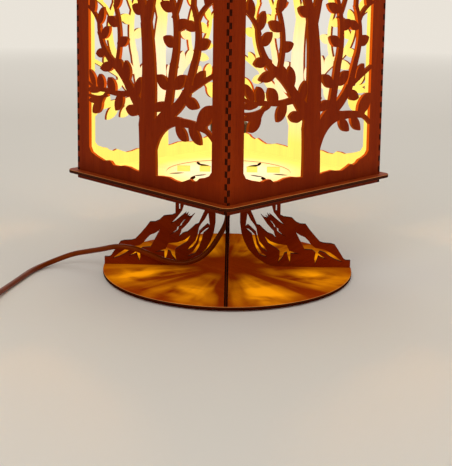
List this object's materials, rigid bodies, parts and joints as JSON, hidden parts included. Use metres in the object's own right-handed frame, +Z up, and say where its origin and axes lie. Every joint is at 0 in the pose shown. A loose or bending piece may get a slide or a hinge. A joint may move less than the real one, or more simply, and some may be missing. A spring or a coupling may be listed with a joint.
{
  "type": "rotating motion lamp",
  "caption": "Square plywood tree-fretwork lantern that turns on a round stand with root-shaped legs, with a lift-off lid, corded lamp holder, inline switch and plug.",
  "frame": {"origin": "middle of the base disc's footprint, on the table", "axes": "+Z up along the axis that the lantern turns on; the walls face -Y, +X, +Y and -X, the legs lie on the diagonals"},
  "size_m": [0.3518, 0.4635, 0.3525],
  "materials": {
    "ply_wall": "lasered plywood, warm red-brown faces, charred cut edges",
    "ply_rim": "lasered plywood, warm red-brown faces, charred cut edges",
    "ply_leg": "lasered plywood, warm red-brown faces, charred cut edges",
    "ply_board": "lasered plywood, orange-brown faces, charred cut edges",
    "knob_wood": "turned hardwood, waxed",
    "pad_rubber": "soft rubber",
    "glide_plastic": "low-friction plastic",
    "brass_fittings": "drawn brass, slightly dull",
    "cap_metal": "rolled thread, satin",
    "holder_plastic": "moulded, heat-resistant",
    "holder_ceramic": "unglazed",
    "bulb_frosted_glass": "frosted",
    "bulb_emitter": "coated light rods on a stem",
    "cord_pvc": "glossy dark brown sheath",
    "relief_rubber": "moulded",
    "switch_plastic": "moulded, glossy",
    "rocker_plastic": "moulded, glossy",
    "pin_metal": "plated",
    "screw_steel": "zinc plated"
  },
  "bodies": {
    "stand": {"base_disc": "ply_board", "foot_pads": "pad_rubber", "leg_front_right": "ply_leg", "leg_back_right": "ply_leg", "leg_back_left": "ply_leg", "leg_front_left": "ply_leg", "hub_plate": "ply_board", "centring_disc": "ply_board", "glide_pads": "glide_plastic", "threaded_stem": "brass_fittings", "stem_washer": "brass_fittings", "stem_nut": "brass_fittings", "cord_grip": "relief_rubber", "holder_base": "holder_plastic", "holder_sleeve": "holder_plastic", "holder_ring": "holder_plastic", "terminal_block": "holder_ceramic", "centre_contact": "brass_fittings", "thread_shell": "brass_fittings", "bulb_tip": "brass_fittings", "bulb_cap": "cap_metal", "bulb_glass": "bulb_frosted_glass", "bulb_filament": "bulb_emitter", "cord_lead": "cord_pvc", "cord_link": "cord_pvc", "cord_coil": "cord_pvc", "cord_tail": "cord_pvc", "switch_bottom": "switch_plastic", "switch_top": "switch_plastic", "switch_screws": "screw_steel", "switch_contacts": "brass_fittings", "plug_relief": "relief_rubber", "plug_body": "switch_plastic", "plug_pins": "pin_metal"},
    "lantern": {"floor_ring": "ply_board", "lower_rim": "ply_rim", "upper_rim": "ply_rim", "wall_front": "ply_wall", "wall_right": "ply_wall", "wall_back": "ply_wall", "wall_left": "ply_wall"},
    "lid": {"lid_plate": "ply_rim", "lid_locator": "ply_rim", "lid_knob": "knob_wood", "knob_screw": "screw_steel"},
    "rocker": {"switch_rocker": "rocker_plastic"}
  },
  "joints": [
    {"name": "lantern_turn", "type": "hinge", "parent": "stand", "child": "lantern", "pos_m": [0, 0, 0.0925], "axis": [0, 0, 1], "continuous": true},
    {"name": "lid_lift", "type": "slide", "parent": "lantern", "child": "lid", "axis": [0, 0, 1], "range_m": [0, 0.06]},
    {"name": "switch_rock", "type": "hinge", "parent": "stand", "child": "rocker", "pos_m": [-0.0595, -0.2745, 0.0145], "axis": [1, 0, 0], "range_deg": [-16, 0]}
  ]
}
